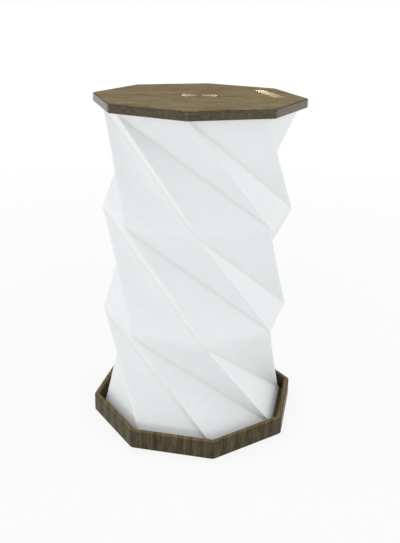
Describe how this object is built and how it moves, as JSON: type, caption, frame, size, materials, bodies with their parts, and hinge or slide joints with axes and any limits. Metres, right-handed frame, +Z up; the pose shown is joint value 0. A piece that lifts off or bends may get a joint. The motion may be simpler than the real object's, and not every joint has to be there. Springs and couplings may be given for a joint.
{
  "type": "folding paper table lamp",
  "caption": "Table lamp whose pleated paper shade twists flat between an octagonal wooden tray and lid.",
  "frame": {"origin": "on the table, under the middle of the tray", "axes": "+Z up along the lamp's centre line; X and Y run square to flats of the octagonal tray; at rest the lid's octagon is turned 15.8 degrees clockwise from the tray's, seen from above"},
  "size_m": [0.1276, 0.1276, 0.2062],
  "materials": {
    "walnut": "oiled, open-pored, smoke-brown",
    "folding_paper": "spun-bonded white sheet, matt",
    "board_stiffener": "grey board, cut",
    "brushed_copper": "copper, circular brushing",
    "satin_copper": "copper, straight brushing, bare",
    "spring_steel": "drawn, tin plated",
    "zinc_steel": "zinc plated",
    "nickel_magnet": "nickel plated",
    "pad_silicone": "moulded, matt",
    "moulded_abs": "fine spark texture",
    "opal_acrylic": "opal, satin",
    "circuit_board": "white solder mask",
    "chip_resin": "moulded resin",
    "contact_plastic": "moulded",
    "diode_resin": "phosphor-filled",
    "cell_foil": "laminated foil pouch",
    "wire_jacket": "extruded",
    "gold_pin": "gold flashed"
  },
  "bodies": {
    "base": {"tray": "walnut", "foot_pads": "pad_silicone", "strike_disc": "zinc_steel", "lower_band": "board_stiffener", "shade": "folding_paper"},
    "head_centre": {"catch_magnet": "nickel_magnet"},
    "head": {"lid": "walnut", "touch_disc": "brushed_copper", "inlay_plate": "satin_copper", "upper_band": "board_stiffener", "control_board": "circuit_board", "control_chips": "chip_resin", "charging_socket": "spring_steel", "socket_tongue": "contact_plastic", "battery": "cell_foil", "battery_wires": "wire_jacket", "link_pins": "gold_pin", "light_board": "circuit_board", "light_diodes": "diode_resin", "lamp_cup": "moulded_abs", "diffuser": "opal_acrylic", "cup_screws": "zinc_steel"}
  },
  "joints": [
    {"name": "lid_lower", "type": "slide", "parent": "base", "child": "head_centre", "axis": [0, 0, -1], "range_m": [0, 0.1885], "deforming": ["shade"]},
    {"name": "lid_twist", "type": "hinge", "parent": "head_centre", "child": "head", "pos_m": [0, 0, 0.2009], "axis": [0, 0, -1], "range_deg": [0, 119.2]}
  ],
  "couplings": [
    {"joint": "lid_twist", "follows": "lid_lower", "rad_per_m": 11.032}
  ]
}
